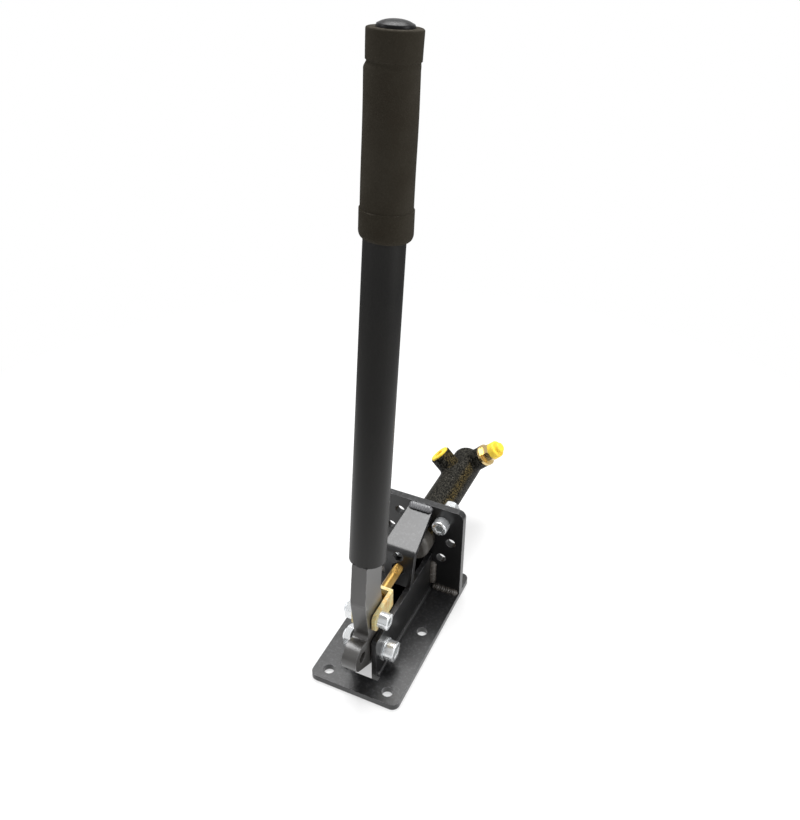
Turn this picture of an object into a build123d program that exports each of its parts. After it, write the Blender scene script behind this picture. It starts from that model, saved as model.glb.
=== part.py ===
from build123d import *
import math
import os

# Bolt-down hydraulic parking brake lever.
# Millimetres. X runs to the bolt-head side, Y runs from the lever to the cylinder, Z is up.
# The origin is on the underside of the base plate, in the middle of its bolt pattern.

# base plate
base_length = 150.0
base_width = 74.0
base_thickness = 5.0
base_corner_radius = 6.0
base_hole_diameter = 8.5
base_hole_side_distance = 12.0
base_hole_end_distance = 10.0
slot_front_width = 28.0
slot_front_inset = 16.0
slot_front_depth = 3.5
slot_rear_reach = 58.0
notch_width = 20.0
notch_depth = 12.0
notch_corner_radius = 4.0

# side walls
wall_thickness = 4.0
wall_gap = 14.0
wall_top = 41.0
wall_front_inset = 19.5
wall_corner_radius = 3.0

# upright plate
upright_inset = 24.0
upright_thickness = 6.0
upright_top = 92.0
upright_corner_radius = 6.0
flange_hole_circle = 54.0
flange_hole_diameter = 8.5

# stop strap between the walls and the upright plate
strap_thickness = 5.0
strap_stand_off = 44.5
strap_foot_width = 22.0
strap_bend_width = 28.0
strap_top_width = 20.0
strap_bend_radius = 6.0
strap_bend_drop = 10.7
strap_drop = 4.0
rod_hole_diameter = 11.0
spare_hole_diameter = 8.5
spare_hole_rise = 12.5

# weld beads
weld_leg = 3.0
wall_weld_bottom = 8.5
wall_weld_top = 33.0
foot_weld_end_gap = 1.0
strap_weld_end_gap = 0.5

# lever
pivot_inset = 34.0
pivot_z = 21.4
link_height = 37.1
bar_tilt = 8.38
lever_thickness = 12.0
lever_width = 25.0
ear_hole_along = 19.6
ear_hole_across = 24.5
ear_radius = 11.0
ear_fillet_radius = 4.0
lever_bend_distance = 62.0
lever_bend_angle = 15.0
lever_upper_width = 26.0
lever_shoulder_distance = 34.0
tongue_width = 16.0
tongue_length = 18.0
spare_lever_hole_diameter = 9.0
tube_diameter = 26.9
tube_wall = 2.0
tube_end_inset = 7.0

# grip
grip_start = 241.0
grip_length = 118.0
grip_diameter = 32.4
upper_collar_diameter = 32.8
lower_collar_diameter = 33.6
collar_length = 17.0
collar_edge_radius = 3.0
groove_depth = 0.8
groove_width = 1.6
cap_flange_diameter = 25.5
cap_rim_diameter = 22.0
cap_rim_height = 2.2
cap_dome_height = 3.0
cap_plug_length = 14.0

# fasteners
m8_diameter = 8.0
m8_head_diameter = 13.0
m8_head_height = 8.0
m8_socket = 6.0
m8_nut_width = 13.0
m8_nut_height = 6.5
m8_washer_diameter = 16.0
m8_washer_height = 1.6
m10_diameter = 10.0
m10_head_diameter = 16.0
m10_head_height = 8.0
m10_socket = 8.0
m10_nut_width = 16.0
m10_nut_height = 8.0
m10_washer_diameter = 18.0
m10_washer_height = 2.0
bolt_tail = 2.5
head_chamfer = 0.6
tip_chamfer = 0.8
nut_chamfer = 0.9
socket_depth_share = 0.55
pivot_bush_wall = 1.5
pivot_bush_flange = 1.5
pivot_side_play = 0.2

# clevis and push rod
clevis_gap = 13.6
clevis_thickness = 3.1
clevis_height = 15.0
clevis_nose = 8.0
clevis_reach = 24.5
clevis_nose_chamfer = 2.5
clevis_bend_radius = 2.0
rod_diameter = 8.0
rod_tail = 2.0
rod_tip_gap = 0.06
stop_nut_gap = 0.4

# master cylinder
body_diameter = 28.0
body_length = 91.0
body_end_radius = 7.0
neck_diameter = 24.5
neck_length = 17.5
flange_thickness = 7.0
flange_lobe_radius = 8.0
flange_hub_diameter = 32.5
nose_diameter = 26.4
nose_reach = 4.5
bore_diameter = 19.0
bore_end_wall = 8.5
boss_diameter = 19.0
boss_angle = 45.0
outlet_boss_inset = 14.5
boss_pitch = 16.0
boss_top = 26.0
port_thread_diameter = 10.0
port_thread_depth = 12.5
port_seat_diameter = 14.5
port_seat_depth = 2.0
port_drill_diameter = 4.0
bolt_angles = (45.0, 225.0)

# port fittings
plug_flange_diameter = 17.0
plug_flange_height = 1.6
plug_flange_round = 0.5
plug_recess_diameter = 7.0
plug_recess_depth = 4.0
plug_shank_length = 8.0
washer_port_diameter = 19.5
washer_port_height = 2.4
adapter_hex = 14.0
adapter_hex_height = 8.0
adapter_shank_length = 12.4
adapter_stub_diameter = 9.5
adapter_stub_length = 5.5
outlet_cap_diameter = 15.0
outlet_cap_length = 6.5
outlet_cap_knob_diameter = 9.0
outlet_cap_knob_length = 3.5
outlet_cap_round = 1.5
outlet_knob_round = 1.0

# piston, seals, spring and boot
piston_length = 34.0
piston_inset = 15.5
piston_clearance = 0.05
piston_cup_depth = 9.0
piston_cup_clearance = 0.9
seal_groove_width = 3.6
seal_groove_depth = 2.2
primary_seal_offset = 27.0
secondary_seal_offset = 6.0
spring_diameter = 15.0
spring_wire = 1.8
spring_turns = 6.0
spring_seat_clearance = 0.1
circlip_thickness = 1.2
circlip_inner_diameter = 15.5
circlip_groove_depth = 1.0
circlip_opening = 4.0
boot_length = 14.0
boot_diameter = 27.0
boot_wall = 1.8
boot_shoulder_width = 5.0
boot_shoulder_length = 6.0
boot_rod_clearance = 0.6
seal_clearance = 0.03
fit_clearance = 0.05
cut_margin = 1.0

# derived places
wall_inner = wall_gap / 2
wall_outer = wall_inner + wall_thickness
base_front = -base_length / 2
base_rear = base_length / 2
upright_front = base_rear - upright_inset
upright_rear = upright_front + upright_thickness
pivot_y = base_front + pivot_inset
axis_z = pivot_z + link_height
link_hole_distance = link_height / math.cos(math.radians(bar_tilt))
link_y = pivot_y - link_height * math.tan(math.radians(bar_tilt))
clevis_outer = clevis_gap / 2 + clevis_thickness
clevis_web_rear = link_y + clevis_reach
strap_front = upright_front - strap_stand_off
strap_rear = strap_front + strap_thickness
strap_rise_at_upright = upright_top - strap_drop
strap_bend_height = strap_rise_at_upright - strap_bend_drop
flange_rear = upright_rear + flange_thickness
body_start = upright_rear + neck_length
body_end = body_start + body_length
nose_front = upright_front - nose_reach
bore_end = body_end - bore_end_wall
outlet_boss_y = body_end - outlet_boss_inset
inlet_boss_y = outlet_boss_y - boss_pitch
piston_start = nose_front + piston_inset
boot_front = nose_front - boot_length
piston_radius = bore_diameter / 2 - piston_clearance
washer_outer = wall_outer + m10_washer_height
grip_end = grip_start + grip_length
tube_length = grip_end - tube_end_inset


def x_cylinder(radius, x0, x1, y, z):
    """Cylinder along X from x0 to x1 about the line through (y, z)."""
    centre = Pos((x0 + x1) / 2, y, z) * Rot(0, 90, 0)
    return centre * Cylinder(radius, abs(x1 - x0))


def y_cylinder(radius, y0, y1, x=0.0, z=axis_z):
    """Cylinder along Y from y0 to y1 about the line through (x, z)."""
    centre = Pos(x, (y0 + y1) / 2, z) * Rot(90, 0, 0)
    return centre * Cylinder(radius, abs(y1 - y0))


def block(x0, x1, y0, y1, z0, z1):
    """Box between two corners."""
    centre = Pos((x0 + x1) / 2, (y0 + y1) / 2, (z0 + z1) / 2)
    return centre * Box(x1 - x0, y1 - y0, z1 - z0)


def edges_along(solid, axis):
    """Edges of a solid that run along an axis."""
    return solid.edges().filter_by(axis)


def turned_about_y(points, y_offset=0.0, z=axis_z):
    """Solid turned about the cylinder axis from a closed outline of (radius, y) points."""
    outline = Polyline(*[(r, y + y_offset) for r, y in points], close=True)
    face = make_face(outline)
    return Pos(0, 0, z) * revolve(face, axis=Axis.Y)


def flange_points(angles):
    """Places of the flange bolts in the X-Z plane."""
    radius = flange_hole_circle / 2
    return [
        (radius * math.cos(math.radians(a)), axis_z + radius * math.sin(math.radians(a)))
        for a in angles
    ]


def make_base_plate():
    plate = Pos(0, 0, base_thickness / 2) * Box(base_width, base_length, base_thickness)
    plate = fillet(edges_along(plate, Axis.Z), base_corner_radius)
    hole_x = base_width / 2 - base_hole_side_distance
    hole_y = base_length / 2 - base_hole_end_distance
    for y in (-hole_y, 0.0, hole_y):
        for x in (-hole_x, hole_x):
            plate -= Pos(x, y, base_thickness / 2) * Cylinder(base_hole_diameter / 2, base_thickness)
    slot_front = base_front + slot_front_inset
    bar = block(-slot_front_width / 2, slot_front_width / 2, slot_front,
                slot_front + slot_front_depth, 0, base_thickness)
    stem = block(-wall_inner, wall_inner, slot_front, slot_front + slot_rear_reach, 0, base_thickness)
    plate -= bar + stem
    notch = block(-notch_width / 2, notch_width / 2, base_rear - notch_depth,
                  base_rear + notch_corner_radius, 0, base_thickness)
    front_edges = edges_along(notch, Axis.Z).group_by(Axis.Y)[0]
    plate -= fillet(front_edges, notch_corner_radius)
    return plate


def make_side_wall(side):
    front = base_front + wall_front_inset
    inner, outer = sorted((side * wall_inner, side * wall_outer))
    wall = block(inner, outer, front, upright_front, base_thickness, wall_top)
    corner = edges_along(wall, Axis.X).group_by(Axis.Y)[0].sort_by(Axis.Z)[-1]
    wall = fillet(corner, wall_corner_radius)
    return wall - x_cylinder(m10_diameter / 2 + fit_clearance, inner, outer, pivot_y, pivot_z)


def make_upright_plate():
    plate = block(-base_width / 2, base_width / 2, upright_front, upright_rear,
                  base_thickness, upright_top)
    top_edges = edges_along(plate, Axis.Y).group_by(Axis.Z)[-1]
    plate = fillet(top_edges, upright_corner_radius)
    plate -= y_cylinder(nose_diameter / 2 + fit_clearance, upright_front, upright_rear)
    for x, z in flange_points((0, 45, 135, 180, 225, 315)):
        plate -= y_cylinder(flange_hole_diameter / 2, upright_front, upright_rear, x, z)
    return plate


def strap_profile(offset):
    """Corner of the strap's bend, and its end at the upright plate, moved inwards by offset."""
    slope = math.atan2(strap_rise_at_upright - strap_bend_height, upright_front - strap_front)
    drop = offset / math.cos(slope)
    corner_y = strap_front + offset
    corner_z = strap_bend_height + (corner_y - strap_front) * math.tan(slope) - drop
    return corner_y, corner_z, strap_rise_at_upright - drop


def round_edge(solid, y, z, radius):
    """Rounds the edge along X that lies nearest to the point (y, z)."""
    edges = edges_along(solid, Axis.X)
    nearest = min(edges, key=lambda edge: math.dist((edge.center().Y, edge.center().Z), (y, z)))
    return fillet(nearest, radius)


def make_stop_strap():
    outer_y, outer_z, outer_end = strap_profile(0.0)
    inner_y, inner_z, inner_end = strap_profile(strap_thickness)
    half_foot = strap_foot_width / 2
    half_bend = strap_bend_width / 2
    half_top = strap_top_width / 2
    side = Plane.YZ * make_face(Polyline(
        (outer_y, wall_top), (outer_y, outer_z), (upright_front, outer_end),
        (upright_front, inner_end), (inner_y, inner_z), (inner_y, wall_top), close=True))
    strap = extrude(side, half_bend, both=True)
    strap = round_edge(strap, outer_y, outer_z, strap_bend_radius)
    strap = round_edge(strap, inner_y, inner_z, strap_bend_radius - strap_thickness)
    front_view = Plane.XZ * make_face(Polyline(
        (-half_foot, wall_top), (-half_bend, outer_z), (-half_bend, upright_top),
        (half_bend, upright_top), (half_bend, outer_z), (half_foot, wall_top), close=True))
    top_view = make_face(Polyline(
        (-half_bend, outer_y), (-half_top, upright_front), (half_top, upright_front),
        (half_bend, outer_y), close=True))
    strap = strap & extrude(front_view, base_length, both=True)
    strap = strap & extrude(top_view, upright_top)
    strap -= y_cylinder(rod_hole_diameter / 2, strap_front, strap_rear)
    spare_hole_z = axis_z + spare_hole_rise
    return strap - y_cylinder(spare_hole_diameter / 2, strap_front, strap_rear, 0.0, spare_hole_z)


def bead_along_y(x, z, y0, y1, x_side):
    """Quarter-round bead in the corner at (x, z), running along Y, open to x_side."""
    rod = y_cylinder(weld_leg, y0, y1, x, z)
    x_range = sorted((x, x + x_side * weld_leg))
    return rod & block(x_range[0], x_range[1], y0, y1, z, z + weld_leg)


def bead_along_x(y, z, x0, x1):
    """Quarter-round bead in front of the corner at (y, z), running along X."""
    rod = x_cylinder(weld_leg, x0, x1, y, z)
    return rod & block(x0, x1, y - weld_leg, y, z, z + weld_leg)


def make_weld_beads():
    front = base_front + wall_front_inset
    beads = []
    for side in (-1, 1):
        x = side * wall_outer
        beads.append(bead_along_y(x, base_thickness, front, upright_front - weld_leg, side))
        low, high = sorted((x + side * weld_leg, side * (base_width / 2 - foot_weld_end_gap)))
        beads.append(bead_along_x(upright_front, base_thickness, low, high))
        post = Pos(x, upright_front, (wall_weld_bottom + wall_weld_top) / 2)
        post = post * Cylinder(weld_leg, wall_weld_top - wall_weld_bottom)
        x_range = sorted((x, x + side * weld_leg))
        beads.append(post & block(x_range[0], x_range[1], upright_front - weld_leg,
                                  upright_front, wall_weld_bottom, wall_weld_top))
    half = strap_top_width / 2 - strap_weld_end_gap
    beads.append(bead_along_x(upright_front, strap_rise_at_upright, -half, half))
    return Compound(children=beads)


def lever_frame(part):
    """Moves a part from the lever's own frame to its place at rest."""
    return Pos(0, pivot_y, pivot_z) * Rot(bar_tilt, 0, 0) * part


def upper_arm(start, end, width):
    """Flat bar along the upper part of the lever, past its bend."""
    bar = block(-lever_thickness / 2, lever_thickness / 2, -width / 2, width / 2, start, end)
    return Pos(0, 0, lever_bend_distance) * Rot(-lever_bend_angle, 0, 0) * bar


def make_lever_plate():
    half = lever_width / 2
    half_t = lever_thickness / 2
    lower = block(-half_t, half_t, -half, half, 0, lever_bend_distance)
    lower += x_cylinder(half, -half_t, half_t, 0, 0)
    bend = x_cylinder(half, -half_t, half_t, 0, lever_bend_distance)
    tube_foot = lever_shoulder_distance
    upper = upper_arm(0, tube_foot, lever_upper_width)
    tongue = upper_arm(tube_foot, tube_foot + tongue_length, tongue_width)
    ear = x_cylinder(ear_radius, -half_t, half_t, -ear_hole_across, ear_hole_along)
    reach = math.hypot(ear_hole_across, ear_hole_along)
    away = math.degrees(math.atan2(ear_hole_across, ear_hole_along))
    web = Rot(away, 0, 0) * block(-half_t, half_t, -ear_radius, ear_radius, 0, reach)
    plate = lower + bend + upper + tongue + ear + web
    turn = math.radians(away)
    along = (half + ear_radius * math.cos(turn)) / math.sin(turn)
    corner_z = along * math.cos(turn) + ear_radius * math.sin(turn)
    plate = round_edge(plate, -half, corner_z, ear_fillet_radius)
    bush_bore = m10_diameter / 2 + pivot_bush_wall
    plate -= x_cylinder(bush_bore, -half_t, half_t, 0, 0)
    plate -= x_cylinder(m8_diameter / 2 + fit_clearance, -half_t, half_t, 0, link_hole_distance)
    plate -= x_cylinder(spare_lever_hole_diameter / 2, -half_t, half_t,
                        -ear_hole_across, ear_hole_along)
    return lever_frame(plate)


def along_tube(part):
    """Moves a part built up the Z axis on to the tube's axis, from the tube's foot."""
    foot = Pos(0, 0, lever_bend_distance) * Rot(-lever_bend_angle, 0, 0)
    return lever_frame(foot * Pos(0, 0, lever_shoulder_distance) * part)


def make_lever_tube():
    tube = Pos(0, 0, tube_length / 2) * Cylinder(tube_diameter / 2, tube_length)
    tube -= Pos(0, 0, tube_length / 2) * Cylinder(tube_diameter / 2 - tube_wall, tube_length)
    return along_tube(tube)


def make_foam_grip():
    inner = tube_diameter / 2
    middle = grip_diameter / 2
    groove = middle - groove_depth
    lower = lower_collar_diameter / 2
    upper = upper_collar_diameter / 2
    edge = collar_edge_radius
    low = grip_start + collar_length
    high = grip_end - collar_length
    outline = [
        (inner, grip_start), (lower - edge, grip_start), (lower, grip_start + edge),
        (lower, low - groove_width), (groove, low - groove_width / 2), (middle, low),
        (middle, high), (groove, high + groove_width / 2), (upper, high + groove_width),
        (upper, grip_end - edge / 2), (upper - edge / 2, grip_end), (inner, grip_end),
    ]
    grip = revolve(Plane.XZ * make_face(Polyline(*outline, close=True)), axis=Axis.Z)
    return along_tube(grip)


def make_end_cap():
    plug = Pos(0, 0, tube_length - cap_plug_length / 2)
    plug = plug * Cylinder(tube_diameter / 2 - tube_wall, cap_plug_length)
    flange = Pos(0, 0, (tube_length + grip_end) / 2)
    flange = flange * Cylinder(cap_flange_diameter / 2, grip_end - tube_length)
    half = cap_rim_diameter / 2
    rim = Pos(0, 0, grip_end + cap_rim_height / 2) * Cylinder(half, cap_rim_height)
    dome_radius = (half ** 2 + cap_dome_height ** 2) / (2 * cap_dome_height)
    foot = grip_end + cap_rim_height
    dome = Pos(0, 0, foot + cap_dome_height - dome_radius) * Sphere(dome_radius)
    dome = dome & Pos(0, 0, foot + cap_dome_height / 2) * Cylinder(half, cap_dome_height)
    return along_tube(plug + flange + rim + dome)


def make_pivot_bush():
    half = wall_inner - pivot_side_play
    outer = m10_diameter / 2 + pivot_bush_wall
    bush = x_cylinder(outer, -lever_thickness / 2, lever_thickness / 2, 0, 0)
    for side in (-1, 1):
        bush += x_cylinder(outer + pivot_bush_flange, side * lever_thickness / 2, side * half, 0, 0)
    return lever_frame(bush - x_cylinder(m10_diameter / 2 + fit_clearance, -half, half, 0, 0))


def cap_screw(head_diameter, head_height, diameter, socket, length):
    """Socket cap screw along Z, its head's underside at the origin and its shank below."""
    head = Pos(0, 0, head_height / 2) * Cylinder(head_diameter / 2, head_height)
    head = chamfer(head.edges().group_by(Axis.Z)[-1], head_chamfer)
    depth = head_height * socket_depth_share
    recess = extrude(RegularPolygon(socket / 2, 6, major_radius=False), amount=depth)
    head -= Pos(0, 0, head_height - depth) * recess
    shank = Pos(0, 0, -length / 2) * Cylinder(diameter / 2, length)
    return head + chamfer(shank.edges().group_by(Axis.Z)[0], tip_chamfer)


def hex_nut(width, height, diameter):
    """Hexagon nut along Z from the origin up, with bevelled corners."""
    nut = extrude(RegularPolygon(width / 2, 6, major_radius=False), amount=height)
    corner = width / math.sqrt(3)
    round_off = Pos(0, 0, height / 2) * Cylinder(corner, height)
    round_off = chamfer(round_off.edges().filter_by(GeomType.CIRCLE), nut_chamfer)
    return (nut & round_off) - Pos(0, 0, height / 2) * Cylinder(diameter / 2, height)


def ring(outer, inner, height):
    """Flat ring along Z from the origin up."""
    disc = Pos(0, 0, height / 2) * Cylinder(outer / 2, height)
    return disc - Pos(0, 0, height / 2) * Cylinder(inner / 2, height)


def make_pivot_bolt():
    length = 2 * washer_outer + m10_nut_height + bolt_tail
    bolt = cap_screw(m10_head_diameter, m10_head_height, m10_diameter, m10_socket, length)
    return Pos(washer_outer, pivot_y, pivot_z) * Rot(0, 90, 0) * bolt


def make_pivot_washers():
    washer = ring(m10_washer_diameter, m10_diameter + 2 * fit_clearance, m10_washer_height)
    right = Pos(wall_outer, pivot_y, pivot_z) * Rot(0, 90, 0) * washer
    left = Pos(-wall_outer, pivot_y, pivot_z) * Rot(0, -90, 0) * washer
    return Compound(children=[right, left])


def make_pivot_nut():
    nut = hex_nut(m10_nut_width, m10_nut_height, m10_diameter)
    return Pos(-washer_outer, pivot_y, pivot_z) * Rot(0, -90, 0) * nut


def make_clevis_bolt():
    length = 2 * clevis_outer + m8_nut_height + bolt_tail
    bolt = cap_screw(m8_head_diameter, m8_head_height, m8_diameter, m8_socket, length)
    return Pos(clevis_outer, link_y, axis_z) * Rot(0, 90, 0) * bolt


def make_clevis_nut():
    nut = hex_nut(m8_nut_width, m8_nut_height, m8_diameter)
    return Pos(-clevis_outer, link_y, axis_z) * Rot(0, -90, 0) * nut


def make_clevis():
    half = clevis_height / 2
    front = link_y - clevis_nose
    body = block(-clevis_outer, clevis_outer, front, clevis_web_rear, axis_z - half, axis_z + half)
    rear = edges_along(body, Axis.Z).group_by(Axis.Y)[-1]
    body = fillet(rear, clevis_bend_radius)
    body -= block(-clevis_gap / 2, clevis_gap / 2, front,
                  clevis_web_rear - clevis_thickness, axis_z - half, axis_z + half)
    nose = edges_along(body, Axis.X).group_by(Axis.Y)[0]
    body = chamfer(nose, clevis_nose_chamfer)
    body -= x_cylinder(m8_diameter / 2 + fit_clearance, -clevis_outer, clevis_outer, link_y, axis_z)
    return body - y_cylinder(rod_diameter / 2, clevis_web_rear - clevis_thickness, clevis_web_rear)


def make_push_rod():
    start = clevis_web_rear - clevis_thickness - rod_tail
    dome_centre = piston_start + piston_cup_depth - rod_tip_gap - rod_diameter / 2
    rod = y_cylinder(rod_diameter / 2, start, dome_centre)
    return rod + Pos(0, dome_centre, axis_z) * Sphere(rod_diameter / 2)


def make_stop_nut():
    start = strap_rear + stop_nut_gap
    nut = hex_nut(m8_nut_width, m8_nut_height, rod_diameter)
    return Pos(0, start, axis_z) * Rot(-90, 0, 0) * nut


def cylinder_boss(y, side):
    """Frame on the cylinder axis whose Z axis points out along a port boss."""
    return Pos(0, y, axis_z) * Rot(0, side * boss_angle, 0)


def make_cylinder_body():
    barrel = y_cylinder(body_diameter / 2, body_start, body_end)
    rear = barrel.edges().filter_by(GeomType.CIRCLE).sort_by(Axis.Y)[-1]
    barrel = fillet(rear, body_end_radius)
    neck = y_cylinder(neck_diameter / 2, upright_rear, body_start)
    nose = y_cylinder(nose_diameter / 2, nose_front, upright_rear)
    flange = y_cylinder(flange_hub_diameter / 2, upright_rear, flange_rear)
    for x, z in flange_points(bolt_angles):
        flange += y_cylinder(flange_lobe_radius, upright_rear, flange_rear, x, z)
    bar = Box(flange_hole_circle, flange_thickness, 2 * flange_lobe_radius)
    tilt = Pos(0, (upright_rear + flange_rear) / 2, axis_z) * Rot(0, -bolt_angles[0], 0)
    body = barrel + neck + nose + flange + tilt * bar
    for y, side in ((outlet_boss_y, 1), (inlet_boss_y, -1)):
        boss = Pos(0, 0, boss_top / 2) * Cylinder(boss_diameter / 2, boss_top)
        body += cylinder_boss(y, side) * boss
    body -= y_cylinder(bore_diameter / 2, nose_front, bore_end)
    groove = circlip_groove_depth + bore_diameter / 2
    body -= y_cylinder(groove, circlip_start(), circlip_start() + circlip_thickness)
    for y, side in ((outlet_boss_y, 1), (inlet_boss_y, -1)):
        thread = Pos(0, 0, boss_top - port_thread_depth / 2)
        thread = thread * Cylinder(port_thread_diameter / 2, port_thread_depth)
        seat = Pos(0, 0, boss_top - port_seat_depth / 2)
        seat = seat * Cylinder(port_seat_diameter / 2, port_seat_depth)
        drill = Pos(0, 0, boss_top / 2) * Cylinder(port_drill_diameter / 2, boss_top)
        body -= cylinder_boss(y, side) * (thread + seat + drill)
    for x, z in flange_points(bolt_angles):
        body -= y_cylinder(flange_hole_diameter / 2, upright_rear, flange_rear, x, z)
    return body


def circlip_start():
    """Front face of the circlip that holds the piston in the bore."""
    return piston_start - circlip_thickness


def make_circlip():
    outer = bore_diameter / 2 + circlip_groove_depth
    clip = y_cylinder(outer, circlip_start(), circlip_start() + circlip_thickness)
    clip -= y_cylinder(circlip_inner_diameter / 2, circlip_start(), circlip_start() + circlip_thickness)
    half = circlip_opening / 2
    gap = block(-half, half, circlip_start(), piston_start, axis_z - outer, axis_z)
    return clip - gap


def make_piston():
    end = piston_start + piston_length
    piston = y_cylinder(piston_radius, piston_start, end)
    for offset in (primary_seal_offset, secondary_seal_offset):
        start = piston_start + offset
        band = y_cylinder(piston_radius + cut_margin, start, start + seal_groove_width)
        band -= y_cylinder(piston_radius - seal_groove_depth, start, start + seal_groove_width)
        piston -= band
    cup_radius = rod_diameter / 2 + piston_cup_clearance
    return piston - y_cylinder(cup_radius, piston_start, piston_start + piston_cup_depth)


def make_seals():
    rings = []
    for offset in (primary_seal_offset, secondary_seal_offset):
        start = piston_start + offset
        seal = y_cylinder(bore_diameter / 2 - seal_clearance, start, start + seal_groove_width)
        seal -= y_cylinder(piston_radius - seal_groove_depth, start, start + seal_groove_width)
        rings.append(seal)
    return Compound(children=rings)


def make_return_spring():
    start = piston_start + piston_length + spring_wire / 2 + spring_seat_clearance
    end = bore_end - spring_wire / 2 - spring_seat_clearance
    radius = (spring_diameter - spring_wire) / 2
    path = Helix((end - start) / spring_turns, end - start, radius)
    wire = sweep(Plane(path @ 0, z_dir=path % 0) * Circle(spring_wire / 2), path=path)
    return Pos(0, start, axis_z) * Rot(-90, 0, 0) * wire


def make_flange_bolts():
    length = upright_thickness + flange_thickness + m8_washer_height + m8_nut_height + bolt_tail
    bolts = []
    for x, z in flange_points(bolt_angles):
        bolt = cap_screw(m8_head_diameter, m8_head_height, m8_diameter, m8_socket, length)
        bolts.append(Pos(x, upright_front, z) * Rot(90, 0, 0) * bolt)
    return Compound(children=bolts)


def make_flange_washers():
    washer = ring(m8_washer_diameter, m8_diameter + 2 * fit_clearance, m8_washer_height)
    places = flange_points(bolt_angles)
    return Compound(children=[Pos(x, flange_rear, z) * Rot(-90, 0, 0) * washer for x, z in places])


def make_flange_nuts():
    nut = hex_nut(m8_nut_width, m8_nut_height, m8_diameter)
    start = flange_rear + m8_washer_height
    places = flange_points(bolt_angles)
    return Compound(children=[Pos(x, start, z) * Rot(-90, 0, 0) * nut for x, z in places])


def boot_shoulder(radius, length):
    """Rounded corner from the flat front of the boot out to a side of the given radius."""
    turns = [math.radians(angle) for angle in (0, 22.5, 45, 67.5, 90)]
    width = boot_shoulder_width
    return [(radius - width + width * math.sin(t), length * (1 - math.cos(t))) for t in turns]


def make_dust_boot():
    lip = rod_diameter / 2 + boot_rod_clearance
    outer = boot_diameter / 2
    inner = boot_shoulder(outer - boot_wall, boot_shoulder_length - boot_wall)
    outline = [(lip, 0)] + boot_shoulder(outer, boot_shoulder_length)
    outline += [(outer, boot_length), (outer - 2 * boot_wall, boot_length)]
    outline += [(r, y + boot_wall) for r, y in reversed(inner)] + [(lip, boot_wall)]
    return turned_about_y(outline, boot_front)


def make_inlet_plug():
    shank = Pos(0, 0, -plug_shank_length / 2)
    shank = shank * Cylinder(port_thread_diameter / 2, plug_shank_length)
    disc = Pos(0, 0, plug_flange_height / 2) * Cylinder(plug_flange_diameter / 2, plug_flange_height)
    disc = fillet(disc.edges().group_by(Axis.Z)[-1], plug_flange_round)
    recess = Pos(0, 0, plug_flange_height - plug_recess_depth / 2)
    plug = shank + disc - recess * Cylinder(plug_recess_diameter / 2, plug_recess_depth)
    return cylinder_boss(inlet_boss_y, -1) * Pos(0, 0, boss_top) * plug


def make_outlet_washer():
    washer = ring(washer_port_diameter, port_thread_diameter + 2 * fit_clearance, washer_port_height)
    return cylinder_boss(outlet_boss_y, 1) * Pos(0, 0, boss_top) * washer


def make_outlet_adapter():
    shank = Pos(0, 0, (washer_port_height - adapter_shank_length) / 2)
    shank = shank * Cylinder(port_thread_diameter / 2, washer_port_height + adapter_shank_length)
    collar = extrude(RegularPolygon(adapter_hex / 2, 6, major_radius=False), amount=adapter_hex_height)
    round_off = Pos(0, 0, adapter_hex_height / 2)
    round_off = round_off * Cylinder(adapter_hex / math.sqrt(3), adapter_hex_height)
    collar = collar & chamfer(round_off.edges().filter_by(GeomType.CIRCLE), tip_chamfer)
    stub_centre = adapter_hex_height + adapter_stub_length / 2
    stub = Pos(0, 0, stub_centre) * Cylinder(adapter_stub_diameter / 2, adapter_stub_length)
    adapter = shank + Pos(0, 0, washer_port_height) * (collar + stub)
    top = washer_port_height + adapter_hex_height + adapter_stub_length
    drill = Pos(0, 0, (top - adapter_shank_length) / 2)
    adapter -= drill * Cylinder(port_drill_diameter / 2, top + adapter_shank_length)
    return cylinder_boss(outlet_boss_y, 1) * Pos(0, 0, boss_top) * adapter


def make_outlet_cap():
    wall = outlet_cap_diameter / 2
    cap = Pos(0, 0, outlet_cap_length / 2) * Cylinder(wall, outlet_cap_length)
    cap = fillet(cap.edges().group_by(Axis.Z)[-1], outlet_cap_round)
    knob = Pos(0, 0, outlet_cap_length + outlet_cap_knob_length / 2)
    knob = knob * Cylinder(outlet_cap_knob_diameter / 2, outlet_cap_knob_length)
    cap += fillet(knob.edges().group_by(Axis.Z)[-1], outlet_knob_round)
    depth = adapter_stub_length
    cap -= Pos(0, 0, depth / 2) * Cylinder(adapter_stub_diameter / 2, depth)
    foot = boss_top + washer_port_height + adapter_hex_height
    return cylinder_boss(outlet_boss_y, 1) * Pos(0, 0, foot) * cap


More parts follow.
